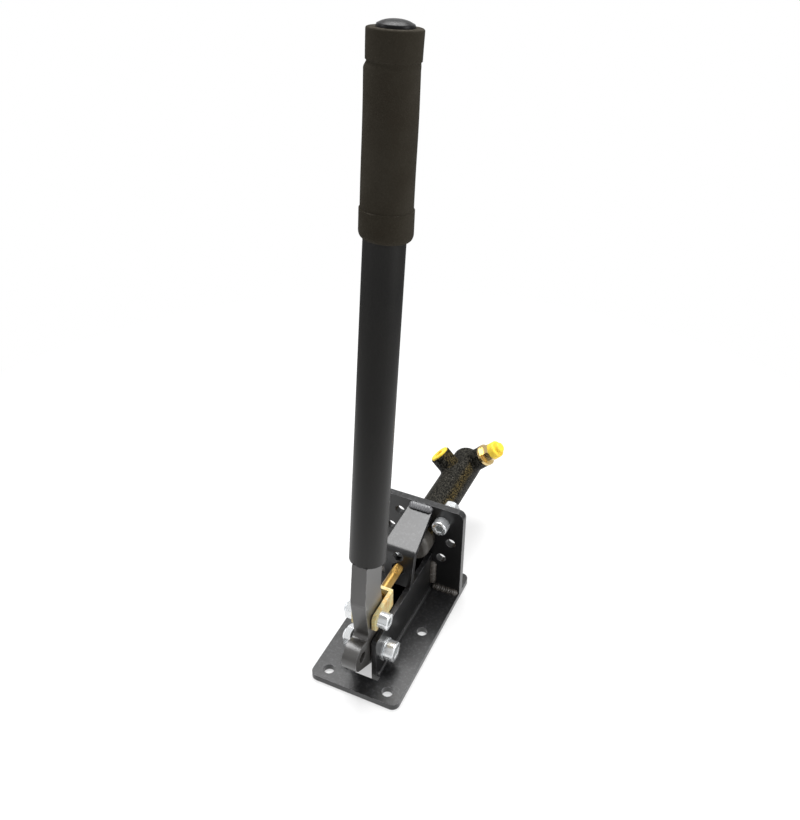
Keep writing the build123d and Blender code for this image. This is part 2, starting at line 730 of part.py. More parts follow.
def write_parts():
    os.makedirs("parts", exist_ok=True)
    parts = {
        "base_plate": make_base_plate(),
        "left_wall": make_side_wall(-1),
        "right_wall": make_side_wall(1),
        "upright_plate": make_upright_plate(),
        "stop_strap": make_stop_strap(),
        "weld_beads": make_weld_beads(),
        "pivot_bolt": make_pivot_bolt(),
        "pivot_washers": make_pivot_washers(),
        "pivot_nut": make_pivot_nut(),
        "cylinder_body": make_cylinder_body(),
        "flange_bolts": make_flange_bolts(),
        "flange_washers": make_flange_washers(),
        "flange_nuts": make_flange_nuts(),
        "dust_boot": make_dust_boot(),
        "circlip": make_circlip(),
        "return_spring": make_return_spring(),
        "inlet_plug": make_inlet_plug(),
        "outlet_washer": make_outlet_washer(),
        "outlet_adapter": make_outlet_adapter(),
        "outlet_cap": make_outlet_cap(),
        "lever_plate": make_lever_plate(),
        "pivot_bush": make_pivot_bush(),
        "lever_tube": make_lever_tube(),
        "foam_grip": make_foam_grip(),
        "end_cap": make_end_cap(),
        "clevis": make_clevis(),
        "clevis_bolt": make_clevis_bolt(),
        "clevis_nut": make_clevis_nut(),
        "push_rod": make_push_rod(),
        "stop_nut": make_stop_nut(),
        "piston": make_piston(),
        "piston_seals": make_seals(),
    }
    for name, shape in parts.items():
        shape.label = name
        export_step(shape, os.path.join("parts", name + ".step"))


write_parts()
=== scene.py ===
"""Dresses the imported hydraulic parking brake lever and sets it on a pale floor.

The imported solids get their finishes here. The pieces that need more than plain solids are built
anew: grip, end cap, welds, cap screws, push rod, cast fillets, return spring and dust boot.
Lengths are in metres, written as millimetres times MM.
"""
import math

import bpy
import numpy as np
from bpy.props import FloatProperty, FloatVectorProperty, IntProperty, PointerProperty
from mathutils import Matrix, Vector


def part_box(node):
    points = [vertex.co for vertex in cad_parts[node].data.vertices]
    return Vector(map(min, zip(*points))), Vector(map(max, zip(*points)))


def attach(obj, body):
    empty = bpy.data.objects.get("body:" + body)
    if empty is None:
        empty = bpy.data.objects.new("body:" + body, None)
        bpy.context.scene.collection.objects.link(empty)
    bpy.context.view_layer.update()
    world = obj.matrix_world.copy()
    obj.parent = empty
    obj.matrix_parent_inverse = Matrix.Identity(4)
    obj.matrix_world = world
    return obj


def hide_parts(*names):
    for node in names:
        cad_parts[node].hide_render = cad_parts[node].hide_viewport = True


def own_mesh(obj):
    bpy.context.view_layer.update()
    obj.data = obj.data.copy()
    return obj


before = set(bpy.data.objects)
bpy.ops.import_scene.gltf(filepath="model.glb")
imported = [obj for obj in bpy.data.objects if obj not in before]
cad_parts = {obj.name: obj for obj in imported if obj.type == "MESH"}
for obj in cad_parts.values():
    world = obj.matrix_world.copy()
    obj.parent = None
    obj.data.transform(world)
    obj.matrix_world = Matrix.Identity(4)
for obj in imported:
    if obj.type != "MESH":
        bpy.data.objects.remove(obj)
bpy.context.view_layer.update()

bl_info = {
    "name": "Parking Brake Lever",
    "version": (1, 0, 0),
    "blender": (4, 5, 0),
    "location": "View3D > Sidebar > Brake Lever",
    "description": "Builds the pieces and finishes of a hydraulic parking brake lever",
    "category": "Object",
}

MM = 0.001
X, Y, Z = np.eye(3)
MATERIALS = {}


# Settings


def length_prop(name, description, millimetres, **limits):
    """Property for a length, with its default in millimetres."""
    limits.setdefault("min", 0.0)
    return FloatProperty(name=name, description=description, default=millimetres * MM,
                         unit="LENGTH", **limits)


def angle_prop(name, description, degrees):
    """Property for an angle, with its default in degrees."""
    return FloatProperty(name=name, description=description, default=math.radians(degrees),
                         subtype="ANGLE")


def number_prop(name, description, default, **limits):
    """Property for a plain number."""
    return FloatProperty(name=name, description=description, default=default, **limits)


def colour_prop(name, description, red, green, blue):
    """Property for an opaque colour."""
    return FloatVectorProperty(name=name, description=description, subtype="COLOR", size=4,
                               default=(red, green, blue, 1.0), min=0.0, max=1.0)


class BrakeLeverGrip(bpy.types.PropertyGroup):
    collar_length: length_prop("Collar Length", "Length of the thick upper end of the grip", 17.0)
    lower_collar_length: length_prop(
        "Lower Collar Length", "Length of the thick lower end of the grip", 18.1)
    lower_collar_radius: length_prop("Lower Collar Radius", "Radius of the thick lower end", 16.9)
    upper_collar_radius: length_prop(
        "Upper Collar Radius", "Radius of the thick upper end at its top", 16.5)
    middle_radius: length_prop("Middle Radius", "Radius between the collars", 16.25)
    crease_depth: length_prop("Crease Depth", "Depth of the crease below the upper collar", 0.8)
    lower_rounding: length_prop("Lower Rounding", "Height of the rolled lower end", 4.6)
    upper_rounding: length_prop("Upper Rounding", "Rounding of the upper end", 1.2)
    slip: length_prop("Slip", "How far the foam's middle strays sideways from the tube", 0.9)
    stretch: length_prop("Stretch", "How far the lower end is pulled down the tube", 1.4)
    slant: length_prop("Slant", "How much lower the lower end hangs on one side", 0.7)
    lip_radius: length_prop(
        "Lip Radius", "Inner radius of the foam that folds over the cap's flange", 11.15)
    lip_height: length_prop("Lip Height", "Height of the folded foam above the cap's flange", 0.7)
    unevenness: length_prop("Unevenness", "How far the foam strays from a true cylinder", 0.12)


class BrakeLeverWelds(bpy.types.PropertyGroup):
    leg: length_prop("Leg", "Reach of a bead along each plate", 3.0)
    ripple_pitch: length_prop("Ripple Pitch", "Distance from one ripple to the next", 1.9)
    ripple_depth: number_prop(
        "Ripple Depth", "Depth of a ripple as a share of the leg", 0.17, min=0.0, max=0.5)


class BrakeLeverScrews(bpy.types.PropertyGroup):
    knurl_count: IntProperty(
        name="Knurl Count", description="Ridges round a screw head", default=40, min=3)
    knurl_depth: length_prop("Knurl Depth", "Depth of the ridges", 0.02)
    thread_depth: number_prop(
        "Thread Depth", "Depth of a thread as a share of its pitch", 0.6, min=0.0, max=1.0)


class BrakeLeverSpring(bpy.types.PropertyGroup):
    wire_diameter: length_prop("Wire Diameter", "Thickness of the spring's wire", 1.8)
    spring_turns: number_prop("Spring Turns", "Number of turns of the spring", 6.0, min=1.0)
    stroke: length_prop("Stroke", "How far the piston presses the spring together", 13.02)


class BrakeLeverCasting(bpy.types.PropertyGroup):
    fillet_reach: length_prop(
        "Fillet Reach", "Size of the fillets at the foot of the port bosses", 2.6, max=4.0 * MM)


class BrakeLeverFinish(bpy.types.PropertyGroup):
    paint: colour_prop("Paint", "Satin black paint of the bracket and lever", 0.006, 0.006, 0.0063)
    foam: colour_prop("Foam", "Colour of the foam grip", 0.024, 0.020, 0.014)
    plug: colour_prop("Plug", "Yellow of the port plugs", 0.86, 0.60, 0.05)


class BrakeLeverStage(bpy.types.PropertyGroup):
    azimuth: angle_prop("Azimuth", "Camera's turn from the front towards the bolt heads", 24.56)
    elevation: angle_prop("Elevation", "Camera's height above the horizon", 31.93)
    roll: angle_prop("Roll", "Camera's roll", -0.65)
    distance: length_prop("Distance", "Distance from the camera to the origin's plane", 755.0)
    right_offset: length_prop(
        "Right Offset", "Camera's place to the right of the origin", 4.9, min=-1.0)
    up_offset: length_prop("Up Offset", "Camera's place above the origin", 217.0, min=-1.0)
    lens: number_prop("Lens", "Focal length for a 36 mm sensor", 40.26, min=1.0)
    rise: number_prop(
        "Rise", "Vertical shift of the lens, as a share of the picture", -48.0 / 820.0)
    floor_size: length_prop("Floor Size", "Half the width of the floor", 3000.0)
    softbox_power: number_prop("Softbox Power", "Power of the large lamp above", 28.0, min=0.0)
    fill_power: number_prop("Fill Power", "Power of the lamp at the left", 7.0, min=0.0)
    right_power: number_prop("Right Power", "Power of the lamp at the right", 12.0, min=0.0)
    ambient: number_prop("Ambient", "Strength of the even light from all round", 0.42, min=0.0)


# Surfaces


def corners(node):
    """Lowest and highest corner of a CAD node."""
    return np.array(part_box(node))


def ring_turns(columns):
    """Angles of the points of one ring, spread evenly over a full turn."""
    return np.linspace(0, 2 * math.pi, columns, endpoint=False)


def smooth(value):
    """Smooth step from 0 to 1 as value goes from 0 to 1."""
    value = np.clip(value, 0, 1)
    return value * value * (3 - 2 * value)


def shell(points, joined):
    """Vertices, quads and triangles of one closed shell from a grid of points.

    Each row is a closed ring. The first and last rows join each other, or each ends in a fan.
    """
    rows, columns = points.shape[:2]
    count, last = rows * columns, (rows - 1) * columns
    vertices = points.reshape(-1, 3)
    column = np.arange(columns)
    after = (column + 1) % columns
    near = np.arange(0, count if joined else last, columns)[:, None]
    far = (near + columns) % count
    quads = np.stack([near + column, near + after, far + after, far + column], -1).reshape(-1, 4)
    if joined:
        return vertices, quads, np.zeros((0, 3), int)
    vertices = np.vstack([vertices, points[0].mean(0), points[-1].mean(0)])
    ones = np.ones(columns, int)
    fans = np.vstack([np.stack([after, column, count * ones], -1),
                      np.stack([(count + 1) * ones, last + column, last + after], -1)])
    return vertices, quads, fans


def outward(vertices, faces, fans):
    """Turns the faces round where the shell's signed volume is negative."""
    triangles = np.vstack([faces[:, [0, 1, 2]], faces[:, [0, 2, 3]], fans])
    a, b, c = (vertices[triangles[:, k]] for k in range(3))
    volume = np.einsum("ij,ij->i", a, np.cross(b, c)).sum()
    return (faces, fans) if volume > 0 else (faces[:, ::-1], fans[:, ::-1])


def make_piece(name, shells, body, slot, finish=None, crease=35.0, grime_and_shade=None):
    """One mesh object from closed shells, riding on a CAD body.

    The finish is the slot's own if none is named. An attribute from 0 to 1 for each row holds
    grime, and painted shade for recesses.
    """
    vertices, faces, shade, start = [], [], [], 0
    for points, joined in shells:
        own, quads, fans = shell(points, joined)
        rows, columns = points.shape[:2]
        if grime_and_shade is not None:
            shade += [np.repeat(grime_and_shade, columns), grime_and_shade[[0, -1]][:len(own) - rows * columns]]
        quads, fans = outward(own, quads, fans)
        vertices.append(own)
        faces += (quads + start).tolist() + (fans + start).tolist()
        start += len(own)
    mesh = bpy.data.meshes.new(name)
    mesh.from_pydata(np.vstack(vertices), [], faces)
    mesh.shade_smooth()
    mesh.set_sharp_from_angle(angle=math.radians(crease))
    mesh.materials.append(MATERIALS[finish or slot])
    mesh.validate()
    if grime_and_shade is not None:
        layer = mesh.attributes.new("grime_and_shade", "FLOAT", "POINT")
        layer.data.foreach_set("value", np.concatenate(shade).astype(np.float32))
    piece = bpy.data.objects.new(name, mesh)
    bpy.context.scene.collection.objects.link(piece)
    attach(piece, body)
    return piece


def rings(radii, heights, origin, axis, side):
    """Points of rings about an axis, which start at the side's direction."""
    radii, heights = np.broadcast_arrays(np.asarray(radii, float), np.asarray(heights, float))
    turn = ring_turns(radii.shape[1])
    across = np.cross(axis, side)
    direction = np.cos(turn)[:, None] * side + np.sin(turn)[:, None] * across
    return origin + heights[..., None] * axis + radii[..., None] * direction[None]


def turned(profile, origin, axis, side, columns=96):
    """Rings of a body of revolution, from (radius, height) pairs along its profile."""
    return rings(profile[:, :1] * np.ones(columns), profile[:, 1:], origin, axis, side)


def arc(centre_r, centre_h, radius_r, radius_h, start, end, steps=7):
    """Part of an ellipse as (radius, height) pairs, between two angles in degrees."""
    sweep = np.radians(np.linspace(start, end, steps))
    return np.stack([centre_r + radius_r * np.cos(sweep), centre_h + radius_h * np.sin(sweep)], -1)


def long_axis(node):
    """Middle and long direction of a round CAD node, from the spread of its vertices."""
    points = np.array([vertex.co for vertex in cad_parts[node].data.vertices])
    middle = points.mean(0)
    axis = np.linalg.svd(points - middle, full_matrices=False)[2][0]
    axis = axis * np.sign(axis[2])
    along = (points - middle) @ axis
    off = (points - middle) - along[:, None] * axis
    return middle + (off.min(0) + off.max(0)) / 2, axis, along.min(), along.max()


def grip_profile(settings, start, end, bore):
    """Closed outline of the grip as (radius, height) pairs.

    It goes up over the rolled lower end, lower collar, middle, V-shaped crease and upper collar,
    which widens to its top, then over the lip on the cap and back down the bore.
    """
    step, flare, rise = 0.35 * MM, 0.35 * MM, settings.collar_length / 40.0
    v_below, v_above, v_gap = 4.4 * MM, 0.7 * MM, 0.1 * MM
    roll, lip, clear = 3.0 * MM, 0.3 * MM, 0.05 * MM
    lower, upper = settings.lower_rounding, settings.upper_rounding
    low, high = settings.lower_collar_radius, settings.upper_collar_radius
    middle, top = settings.middle_radius, end + settings.lip_height
    height = np.linspace(start + lower, end - upper, 640)
    past = height - (end - settings.collar_length)
    radius = low + (middle - low) * smooth((height - start - settings.lower_collar_length) / step)
    widening = flare * (1 - np.clip(past / settings.collar_length, 0, 1))
    radius = radius + (high - widening - middle) * smooth(past / rise)
    below = smooth((past + v_below + v_gap) / v_below) ** 1.5
    above = 1 - smooth(past / v_above)
    radius = radius - settings.crease_depth * np.minimum(below, above)
    inside = np.linspace(end - 0.1 * MM, start, 40)
    return np.vstack([
        arc(low - roll, start + lower, roll, lower, -90, -6, 12),
        np.stack([radius, height], -1),
        arc(high - upper, top - upper, upper, upper, 12, 90),
        arc(settings.lip_radius + lip, top - lip, lip, lip, 90, 180, 5),
        [(settings.lip_radius, end + clear), (bore, end + clear)],
        np.stack([np.full(40, bore), inside], -1),
    ])


def grip_grid(settings):
    """Ring grid of the foam grip, from its profile.

    Slow sines make the outside uneven. The cosine of the turn moves the middle sideways and lets
    the lower end hang lower on one side. The bore stays round.
    """
    middle, axis, start, end = long_axis("foam_grip")
    start = start - settings.stretch
    tube_low, tube_high = corners("lever_tube")
    bore = (tube_high[0] - tube_low[0]) / 2
    crease, skin = 4.5 * MM, 1.5 * MM
    profile = grip_profile(settings, start, end, bore)
    radius, height = profile[:, :1], profile[:, 1:]
    turn = ring_turns(128)
    uneven = np.sin(3 * turn + 60 * height) + 0.7 * np.sin(5 * turn - 85 * height + 1.0)
    outer = smooth((radius - bore - 0.2 * MM) / skin)
    past = height - (end - settings.collar_length)
    share = np.clip(1 + past / (end - start - settings.collar_length), 0, 1)
    across = 0.98 * smooth((past + crease) / crease) + 0.83 - 1.83 * share
    hanging = 1 - smooth((height - start) / settings.collar_length)
    radius = radius + settings.unevenness * uneven * outer
    radius = radius + settings.slip * across * np.cos(turn) * outer
    height = height - settings.slant * hanging * np.cos(turn)
    return rings(radius, height, middle, axis, X), True


def bead(start, end, leg_a, leg_b, depth, settings, fullness=2.0):
    """Ring grid of one weld bead from start to end in the corner between two plates.

    The section is a quarter of a superellipse between the two legs, closed by the corner. It is a
    circle at a fullness of 2, and flatter below. The radius dips once a ripple, the ripples bow
    forwards in the middle of the section, and both ends close in a half ellipse.
    """
    spacing, bow, uneven = 0.22 * MM, 0.55, 0.3
    way = np.subtract(end, start)
    length = np.linalg.norm(way)
    share = np.linspace(0, 1, max(24, int(length / spacing)))[:, None]
    across = np.linspace(0, math.pi / 2, 12)[None, :]
    ripple = share * length / settings.ripple_pitch - bow * np.sin(2 * across)
    wave = np.abs(np.sin(math.pi * ripple))
    radius = 1 - depth * (1 - wave) + uneven * depth * np.sin(share * 31.0 + across)
    ends = np.clip(np.minimum(share, 1 - share) * length / settings.leg, 0, 1)
    radius = radius * np.sqrt(np.clip(1 - (1 - ends) ** 2, 0.02, 1))
    radius = radius * (np.cos(across) ** fullness + np.sin(across) ** fullness) ** (-1 / fullness)
    arc_points = np.cos(across)[..., None] * leg_a + np.sin(across)[..., None] * leg_b
    line = start + share[..., None] * way
    curve = line + (radius * settings.leg)[..., None] * arc_points
    return np.concatenate([line, curve], axis=1), False


def bead_runs(settings):
    """Ring grids of the rough beads, the smooth beads and the strap's, placed from the plates."""
    base_top = corners("base_plate")[1][2]
    wall_low, wall_high = corners("right_wall")
    upright_low, upright_high = corners("upright_plate")
    strap_top = corners("stop_strap")[1][2]
    post_bottom, post_top, strap_half = 8.5 * MM, 33.0 * MM, 10.4 * MM
    front, leg, depth = upright_low[1], settings.leg, settings.ripple_depth
    rough, even = [], []
    for side in (-1, 1):
        wall = side * wall_high[0]
        even.append(bead((wall, wall_low[1], base_top), (wall, front - leg, base_top),
                         0.8 * side * X, 0.8 * Z, 0.2 * depth, settings))
        rough.append(bead((side * (wall_high[0] + 0.5 * leg), front, base_top),
                          (side * (upright_high[0] - MM), front, base_top),
                          -1.45 * Y, 1.25 * Z, depth, settings))
        rough.append(bead((wall, front, post_bottom), (wall, front, post_top),
                          1.5 * side * X, -1.2 * Y, 0.6 * depth, settings))
    strap = bead((-strap_half, front, strap_top), (strap_half, front, strap_top),
                 -1.6 * Y, 1.25 * Z, 0.45 * depth, settings, 1.7)
    return rough, even, [strap]


def thread_cut(height, turn, pitch, settings):
    """Depth of a thread: a triangle wave of height and turn that climbs one pitch a turn."""
    phase = (height / pitch - turn / (2 * math.pi)) % 1
    return settings.thread_depth * pitch * np.abs(2 * phase - 1)


def cap_screw(origin, axis, size, settings):
    """Ring grid of a socket cap screw, its head on origin along axis, and its rows' grime and
    painted shade.

    The rings run from the tail to the bottom of the socket. The radius follows the thread near
    the tail, a fine sine on the head's side and a hexagon in the socket.
    """
    shank, head, height, socket, length, pitch = (value * MM for value in size)
    turn, tail_rings, sixth = ring_turns(144), 56, math.pi / 3
    radius, side, edge = shank / 2, head / 2, 0.05 * head
    cut_end = 3.2 * pitch - length
    tail = np.linspace(0.08 * shank - length, cut_end, tail_rings)[:, None]
    fade = smooth((cut_end - tail) / pitch)
    thread = radius - thread_cut(tail, turn, pitch, settings) * fade
    knurl = side - settings.knurl_depth * (0.5 - 0.5 * np.cos(settings.knurl_count * turn))
    hexagon = socket / 2 / np.cos((turn + sixth / 2) % sixth - sixth / 2)
    rows = [
        (0.55 * radius, -length), (0.8 * radius, -length), *zip(thread, tail[:, 0]),
        (radius, -0.4 * length), (radius, 0.0), (side - 0.3 * edge, 0.0), (side, 0.3 * edge),
        (knurl, 0.1 * height), (knurl, height - 1.6 * edge), (side, height - 1.2 * edge),
        (side - 0.3 * edge, height - 0.35 * edge), (side - edge, height),
        (1.12 * hexagon, height), (hexagon, height - 0.06 * head), (hexagon, 0.45 * height),
        (0.35 * hexagon, 0.4 * height), (0.05 * hexagon, 0.36 * height),
    ]
    radii = np.array([ring * np.ones(len(turn)) for ring, _ in rows])
    levels = np.array([[level] for _, level in rows])
    grime_and_shade = np.zeros(len(rows))
    grime_and_shade[:2 + tail_rings] = 0.25
    # The socket's rows get painted shade, darkening the recess; the tail's rows are only dulled.
    grime_and_shade[-4:] = 0.7
    return (rings(radii, levels, origin, axis, Z), False), grime_and_shade


def screw_pieces(settings):
    """The pivot, clevis and flange screws, each in place of its CAD node.

    A size is the shank, head, head's height, socket, length and pitch, in millimetres.
    """
    m10, m8 = (10.0, 16.0, 8.0, 8.0), (8.0, 13.0, 8.0, 6.0)
    for name, node, body, size, pitch in (
        ("pivot_screw", "pivot_bolt", "bracket", m10, 1.5),
        ("clevis_screw", "clevis_bolt", "rod", m8, 1.25),
    ):
        low, high = corners(node)
        middle, head = (low + high) / 2, size[2] * MM
        length = (high[0] - low[0] - head) / MM
        origin = (high[0] - head, middle[1], middle[2])
        screw, grime_and_shade = cap_screw(origin, X, (*size, length, pitch), settings)
        piece = make_piece(name, [screw], body, "bright_zinc", grime_and_shade=grime_and_shade)
        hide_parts(node)
    low, high = corners("flange_bolts")
    half, head = m8[1] * MM / 2, m8[2] * MM
    length = (high[1] - low[1] - head) / MM
    made = [cap_screw((x, low[1] + head, z), -Y, (*m8, length, 1.25), settings)
            for x, z in ((low[0] + half, low[2] + half), (high[0] - half, high[2] - half))]
    piece = make_piece("flange_screws", [screw for screw, _ in made], "bracket", "bright_zinc",
                       grime_and_shade=made[0][1])
    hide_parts("flange_bolts")


def rod_grid(settings):
    """Ring grid of the push rod: smooth by the clevis, threaded through the strap, domed tip."""
    low, high = corners("push_rod")
    middle, radius = (low + high) / 2, (high[0] - low[0]) / 2
    pitch, before, beyond = 1.25 * MM, 9 * MM, 33 * MM
    height = np.linspace(0, high[1] - low[1] - radius, 420)[:, None]
    past = low[1] + height - corners("stop_strap")[0][1]
    cut = smooth((past + before) / pitch) * (1 - smooth((past - beyond) / pitch))
    body = radius - thread_cut(height, ring_turns(72), pitch, settings) * cut
    dome = np.radians(np.linspace(0, 85, 10))[1:, None]
    radii = np.vstack([body, radius * np.cos(dome) * np.ones((1, 72))])
    heights = np.vstack([height, height[-1] + radius * np.sin(dome)])
    return rings(radii, heights, (middle[0], low[1], middle[2]), Y, Z), False


def cap_grid():
    """Ring grid of the grip's end cap: plug, flange, low rim and a dome with a rounded edge."""
    middle, axis, start, end = long_axis("end_cap")
    low, high = corners("end_cap")
    flange, rim, plug = (high[0] - low[0]) / 2, 11.0 * MM, 11.4 * MM
    bevel, lead, edge = 0.4 * MM, 0.8 * MM, 1.1 * MM
    foot, shoulder = end - 5.2 * MM, end - 3.4 * MM
    flange_foot = foot - 7.0 * MM
    profile = np.vstack([
        [(0.3 * plug, start), (0.93 * plug, start), (plug, start + lead), (plug, flange_foot),
         (flange, flange_foot), (flange, foot - bevel), (flange - bevel, foot), (rim, foot)],
        arc(rim - edge, shoulder, edge, edge, 0, 62, 8),
        arc(0.0, shoulder, 0.93 * rim, end - shoulder, 36, 88, 16),
    ])
    return turned(profile, middle, axis, X), False


def fillet_grid(side, settings):
    """Ring grid of the cast fillet where a port boss meets the barrel.

    The section is a hollow quarter ellipse from the boss's wall down to the barrel, closed inside
    the metal. Round the boss it rises and falls with the barrel's surface.
    """
    barrel, boss, depth, clear = 14.0 * MM, 9.5 * MM, 1.0 * MM, 0.05 * MM
    reach, columns = settings.fillet_reach, 96
    low, high = corners("cylinder_body")
    plug_low, plug_high = corners("inlet_plug" if side < 0 else "outlet_washer")
    centre = (0.0, (plug_low[1] + plug_high[1]) / 2, (low[2] + high[2]) / 2)
    out = np.array([side, 0.0, 1.0]) / math.sqrt(2)
    turn = ring_turns(columns)
    section = np.radians(np.linspace(0, 90, 10))[:, None]
    radius = np.vstack([boss + reach * (1 - np.sin(section)) - clear, [[boss - depth]] * 2])
    radius = radius * np.ones(columns)
    lift = np.vstack([reach * (1 - np.cos(section)), [[reach]], [[-depth]]])
    height = np.sqrt(barrel ** 2 - (radius * np.sin(turn)) ** 2) + lift - clear
    flat = np.cos(turn)[:, None] * Y + np.sin(turn)[:, None] * np.cross(out, Y)
    return centre + height[..., None] * out + radius[..., None] * flat[None], True


def boot_grid():
    """Ring grid of the rubber boot: rounded shoulder, sleeve with two slight folds, hollow."""
    low, high = corners("dust_boot")
    width, length = (high[0] - low[0]) / 2, high[1] - low[1]
    lip, wall, dip, neck = 4.6 * MM, 1.8 * MM, 0.12 * MM, 0.45
    height = np.linspace(neck * length, length, 40)
    fold = dip * (1 - np.cos((height / length - neck) * 4 * math.pi / (1 - neck))) / 2
    profile = np.vstack([
        [(lip, 0.0), (0.45 * width, 0.0), (0.62 * width, 0.02 * length)],
        arc(0.66 * width, 0.4 * length, 0.34 * width, 0.38 * length, -90, 0, 12),
        np.stack([width - fold, height], -1),
        [(width - 2 * wall, length), (width - 1.3 * wall, 0.5 * length),
         (width - 2 * wall, 0.3 * length), (lip + wall, wall), (lip, wall)],
    ])
    return turned(profile, (0.0, low[1], (low[2] + high[2]) / 2), Y, Z), True


def spring_grid(settings):
    """Tube grid of the return spring: a round wire on a helix whose pitch closes at both ends."""
    low, high = corners("return_spring")
    wire = settings.wire_diameter / 2
    coil = (high[0] - low[0]) / 2 - wire
    share = np.linspace(0, 1, int(60 * settings.spring_turns))
    turn = 2 * math.pi * settings.spring_turns * share
    climb = share - 0.65 * np.sin(2 * math.pi * share) / (2 * math.pi)
    out = np.stack([np.cos(turn), np.zeros_like(turn), np.sin(turn)], -1)
    line = (0.0, 0.0, (low[2] + high[2]) / 2) + coil * out
    line[:, 1] = low[1] + wire + (high[1] - low[1] - 2 * wire) * climb
    section = ring_turns(14)[None, :, None]
    return line[:, None] + wire * (np.cos(section) * out[:, None] + np.sin(section) * Y), False


# Shading


def put(tree, kind, sockets=None, **settings):
    """Adds a shader node, sets its settings, and links or fills its input sockets."""
    node = tree.nodes.new("ShaderNode" + kind)
    for key, value in settings.items():
        setattr(node, key, value)
    for key, value in (sockets or {}).items():
        if isinstance(value, bpy.types.NodeSocket):
            tree.links.new(value, node.inputs[key])
        else:
            node.inputs[key].default_value = value
    return node


def new_group(name, *inputs):
    """Empty shader node group, and the sockets of its named inputs."""
    group = bpy.data.node_groups.new(name, "ShaderNodeTree")
    for label in inputs:
        group.interface.new_socket(name=label, in_out="INPUT", socket_type="NodeSocketFloat")
    return group, group.nodes.new("NodeGroupInput").outputs


def give(group, **values):
    """Gives the group an output for each value."""
    for label, value in values.items():
        kind = "NodeSocketVector" if value.type == "VECTOR" else "NodeSocketFloat"
        group.interface.new_socket(name=label, in_out="OUTPUT", socket_type=kind)
    sink = group.nodes.new("NodeGroupOutput")
    for label, value in values.items():
        group.links.new(value, sink.inputs[label])


def place_of(tree):
    """Object coordinates."""
    return put(tree, "TexCoord").outputs["Object"]


def split(tree, vector):
    """X, Y and Z of a vector."""
    return put(tree, "SeparateXYZ", {0: vector}).outputs


def maths(tree, operation, first, second=0.0):
    """Result of one sum."""
    return put(tree, "Math", {0: first, 1: second}, operation=operation).outputs[0]


def times(tree, *factors):
    """Product of two or more values."""
    product = factors[0]
    for factor in factors[1:]:
        product = maths(tree, "MULTIPLY", product, factor)
    return product


def noise(tree, place, scale, detail=3.0, roughness=0.55):
    """Value of a noise at a place."""
    sockets = {"Vector": place, "Scale": scale, "Detail": detail, "Roughness": roughness}
    return put(tree, "TexNoise", sockets).outputs["Fac"]


def remap(tree, value, low, high, to_low=0.0, to_high=1.0):
    """Value moved from one range to another, and kept inside it."""
    sockets = {"Value": value, "From Min": low, "From Max": high,
               "To Min": to_low, "To Max": to_high}
    return put(tree, "MapRange", sockets).outputs["Result"]


def blend(tree, factor, first, second):
    """Mix of two colours, each a socket or the red, green and blue of a plain colour."""
    first, second = ((*value[:3], 1.0) if isinstance(value, tuple) else value
                     for value in (first, second))
    node = put(tree, "Mix", {0: factor, 6: first, 7: second}, data_type="RGBA")
    return node.outputs[2]


def build_grain():
    """Fine grain, and broad patches twenty times as large."""
    group, given = new_group("Fine Grain", "Scale")
    place, scale = place_of(group), given["Scale"]
    give(group, Grain=noise(group, place, scale),
         Patches=noise(group, place, times(group, scale, 0.05), 4.0))


def build_edge_wear_and_highlight():
    """Softened edge normal, and a broken mask along the edges: where a finish rubs off, and on
    black paint also a painted highlight.
    """
    group, given = new_group("Edge Wear", "Radius", "Breakup")
    soft = put(group, "Bevel", {"Radius": given["Radius"]}, samples=4).outputs["Normal"]
    sharp = put(group, "NewGeometry").outputs["Normal"]
    dot = put(group, "VectorMath", {0: soft, 1: sharp}, operation="DOT_PRODUCT")
    edge = remap(group, dot.outputs["Value"], 0.995, 0.86)
    broken = remap(group, noise(group, place_of(group), given["Breakup"], 5.0), 0.42, 0.72)
    give(group, Wear=times(group, edge, broken), Normal=soft)


def build_dust_and_top_light():
    """Mask on faces that look up: settled dust, and on the foam a painted lighter top where light
    falls from above.
    """
    group, given = new_group("Settled Dust", "Scale", "Amount")
    normal = put(group, "NewGeometry").outputs["Normal"]
    up = remap(group, split(group, normal)["Z"], 0.55, 1.0)
    specks = noise(group, place_of(group), given["Scale"], 6.0, 0.7)
    give(group, Dust=times(group, up, remap(group, specks, 0.5, 0.85), given["Amount"]))


def build_plating_tint():
    """Two slow masks that drift over a plated surface, for its warm and its green-pink tints."""
    group, given = new_group("Plating Tint", "Scale")
    place, scale = place_of(group), given["Scale"]
    bands = noise(group, place, times(group, scale, 1.7), 3.0, 0.5)
    wave = maths(group, "SINE", times(group, bands, 38.0))
    give(group, Warm=remap(group, noise(group, place, scale, 2.0), 0.35, 0.65),
         Rainbow=remap(group, wave, -1.0, 1.0))


def build_cells(name, lumps, lump_height, shades, detail, roughness, low, high):
    """Height of small cells with lumps over them, and a shade from a second noise.

    The scales of the lumps and shades are shares of the cells' scale.
    """
    group, given = new_group(name, "Scale")
    place, scale = place_of(group), given["Scale"]
    cells = put(group, "TexVoronoi", {"Vector": place, "Scale": scale},
                feature="SMOOTH_F1").outputs["Distance"]
    lump = noise(group, place, times(group, scale, lumps), 4.0, 0.6)
    shade = noise(group, place, times(group, scale, shades), detail, roughness)
    height = maths(group, "ADD", cells, times(group, lump, lump_height))
    give(group, Height=height, Shade=remap(group, shade, low, high))


def build_turning_marks():
    """Fine lines round the Y axis that a lathe leaves, and their slow change of strength."""
    group, given = new_group("Turning Marks", "Lines")
    along = split(group, place_of(group))["Y"]
    line = maths(group, "SINE", times(group, along, given["Lines"]))
    slow = put(group, "TexNoise", {"W": times(group, along, 900.0), "Scale": 1.0},
               noise_dimensions="1D").outputs["Fac"]
    give(group, Marks=remap(group, line, -1.0, 1.0), Bands=slow)


def use(tree, name, **values):
    """Places the node group of that name, with its inputs set."""
    return put(tree, "Group", values, node_tree=bpy.data.node_groups[name]).outputs


